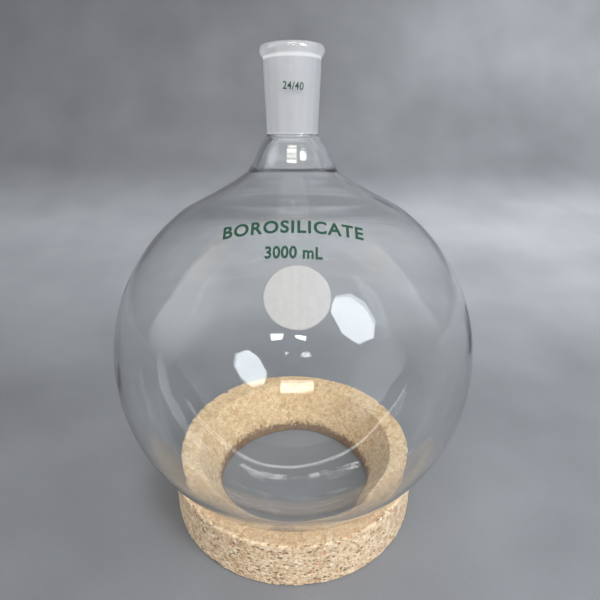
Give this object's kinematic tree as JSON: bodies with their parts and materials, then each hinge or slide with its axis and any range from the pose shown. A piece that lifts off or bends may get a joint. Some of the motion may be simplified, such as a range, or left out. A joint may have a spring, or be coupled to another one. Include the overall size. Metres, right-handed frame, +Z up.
{
  "type": "round-bottom flask on a cork ring stand",
  "caption": "Clear round-bottom boiling flask with a ground-glass socket neck and a white marking spot, lying loose and leaning back a little in a shallow cork support ring.",
  "frame": {"origin": "centre of the cork ring's underside, on the bench", "axes": "+Z up along the ring's axis; -Y is the front of the flask, the side with the marking spot; the flask's neck leans 16.1 degrees back from +Z towards +Y"},
  "size_m": [0.185, 0.185, 0.252],
  "materials": {
    "cork": "matte",
    "clear_glass": "polished",
    "ground_glass": "satin",
    "white_enamel": "matte",
    "green_enamel": "gloss"
  },
  "bodies": {
    "ring": {"cork_ring": "cork"},
    "flask": {"flask_bulb": "clear_glass", "ground_joint": "ground_glass", "marking_spot": "white_enamel"}
  },
  "joints": [
    {"name": "flask_lean", "type": "hinge", "parent": "ring", "child": "flask", "pos_m": [0, 0, 0.1026], "axis": [1, 0, 0], "range_deg": [-28.9, 61.1]}
  ]
}
